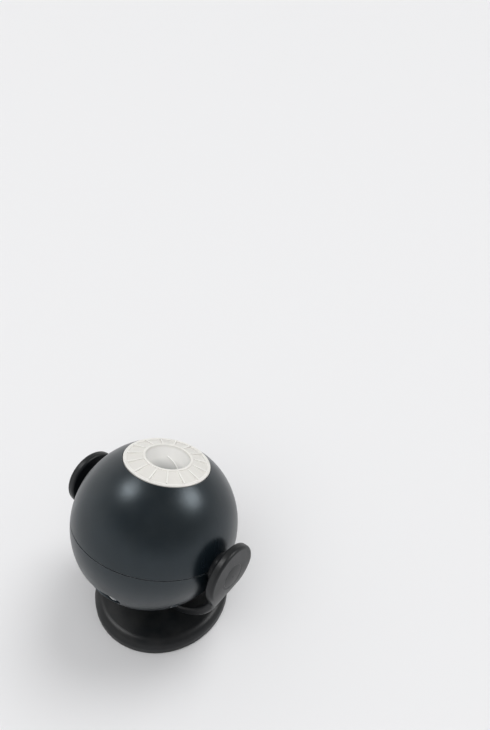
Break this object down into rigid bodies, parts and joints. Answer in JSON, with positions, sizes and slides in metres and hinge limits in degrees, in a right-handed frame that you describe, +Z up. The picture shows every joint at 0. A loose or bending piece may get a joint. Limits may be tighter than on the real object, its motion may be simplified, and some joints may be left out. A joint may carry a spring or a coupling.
{
  "type": "planetarium projector",
  "caption": "Ball-shaped home planetarium projector with a ribbed white focus ring round a deep lens bowl, tilting between the arms of a forked stand on a round base.",
  "frame": {"origin": "middle of the base, on the plane that the rubber feet stand on", "axes": "+Z up, +X along the tilt axis of the ball, -Y the side with the buttons"},
  "size_m": [0.1816, 0.15, 0.1823],
  "materials": {
    "casing": "satin anthracite, fine moulded grain",
    "ring_white": "satin warm white",
    "stand_black": "satin black",
    "inner_black": "matt black",
    "lens_glass": "polished, coated",
    "gear_white": "natural acetal",
    "disc_film": "printed film",
    "steel": "plated steel",
    "brass": "machined",
    "heat_sink": "plain aluminium",
    "board": "green circuit board",
    "led": "phosphor under clear resin",
    "cell": "plain sleeve",
    "rubber": "matt rubber",
    "ballast": "rough casting",
    "button_grey": "satin grey"
  },
  "bodies": {
    "stand": {"yoke": "stand_black", "base_housing": "stand_black", "base_plate": "stand_black", "ballast_ring": "ballast", "rubber_feet": "rubber", "base_screws": "steel", "yoke_screws": "steel", "pivot_cap_left": "stand_black", "pivot_cap_right": "stand_black", "friction_washer_left": "rubber", "friction_washer_right": "rubber"},
    "ball": {"upper_shell": "casing", "lower_shell": "casing", "battery_cover": "casing", "button_panel": "inner_black", "shell_screws": "steel", "battery_cover_screw": "steel", "lens_mount": "inner_black", "chassis_plate": "inner_black", "chassis_screws": "steel", "idler_axle": "steel", "drive_motor": "steel", "motor_bracket": "inner_black", "condenser_holder": "inner_black", "condenser_lens": "lens_glass", "led_board": "board", "led_chip": "led", "heat_sink": "heat_sink", "battery_tray": "inner_black", "battery_cells": "cell", "battery_contacts": "steel", "control_board": "board", "tact_switches": "inner_black", "pivot_hub_left": "stand_black", "pivot_hub_right": "stand_black", "pivot_screws": "steel"},
    "focus_ring": {"focus_ring": "ring_white", "focus_ring_clip": "inner_black", "lens_hood": "ring_white"},
    "lens_tube": {"lens_barrel": "inner_black", "front_lens": "lens_glass", "rear_lens": "lens_glass", "lens_clamp_ring": "inner_black"},
    "turntable": {"turntable_gear": "gear_white", "star_disc": "disc_film", "disc_clip_ring": "inner_black"},
    "idler": {"idler_gear": "gear_white"},
    "pinion": {"motor_pinion": "brass"},
    "power_button": {"power_button": "button_grey"},
    "rotation_button": {"rotation_button": "button_grey"},
    "timer_button": {"timer_button": "button_grey"}
  },
  "joints": [
    {"name": "ball_tilt", "type": "hinge", "parent": "stand", "child": "ball", "pos_m": [0, 0, 0.108], "axis": [1, 0, 0], "range_deg": [-57, 93]},
    {"name": "focus_turn", "type": "hinge", "parent": "ball", "child": "focus_ring", "pos_m": [0, 0.01854, 0.16506], "axis": [0, 0.309, 0.9511], "range_deg": [-60, 60]},
    {"name": "focus_slide", "type": "slide", "parent": "ball", "child": "lens_tube", "axis": [0, 0.309, 0.9511], "range_m": [-0.0025, 0.0025]},
    {"name": "disc_spin", "type": "hinge", "parent": "ball", "child": "turntable", "pos_m": [0, 0.00371, 0.11941], "axis": [0, 0.309, 0.9511], "continuous": true},
    {"name": "idler_spin", "type": "hinge", "parent": "ball", "child": "idler", "pos_m": [0, 0.03887, 0.11114], "axis": [0, 0.309, 0.9511], "continuous": true},
    {"name": "motor_spin", "type": "hinge", "parent": "ball", "child": "pinion", "pos_m": [0.0068, 0.05008, 0.1075], "axis": [0, 0.309, 0.9511], "continuous": true},
    {"name": "power_button_press", "type": "slide", "parent": "ball", "child": "power_button", "axis": [0, 0.9563, 0.2924], "range_m": [0, 0.0008], "stiffness_N_per_m": 400, "springref_m": -0.0005},
    {"name": "rotation_button_press", "type": "slide", "parent": "ball", "child": "rotation_button", "axis": [0, 0.9563, 0.2924], "range_m": [0, 0.0008], "stiffness_N_per_m": 400, "springref_m": -0.0005},
    {"name": "timer_button_press", "type": "slide", "parent": "ball", "child": "timer_button", "axis": [0, 0.9563, 0.2924], "range_m": [0, 0.0008], "stiffness_N_per_m": 400, "springref_m": -0.0005}
  ],
  "couplings": [
    {"joint": "focus_turn", "follows": "focus_slide", "rad_per_m": 416.67},
    {"joint": "idler_spin", "follows": "disc_spin", "ratio": -5},
    {"joint": "motor_spin", "follows": "disc_spin", "ratio": 12}
  ]
}
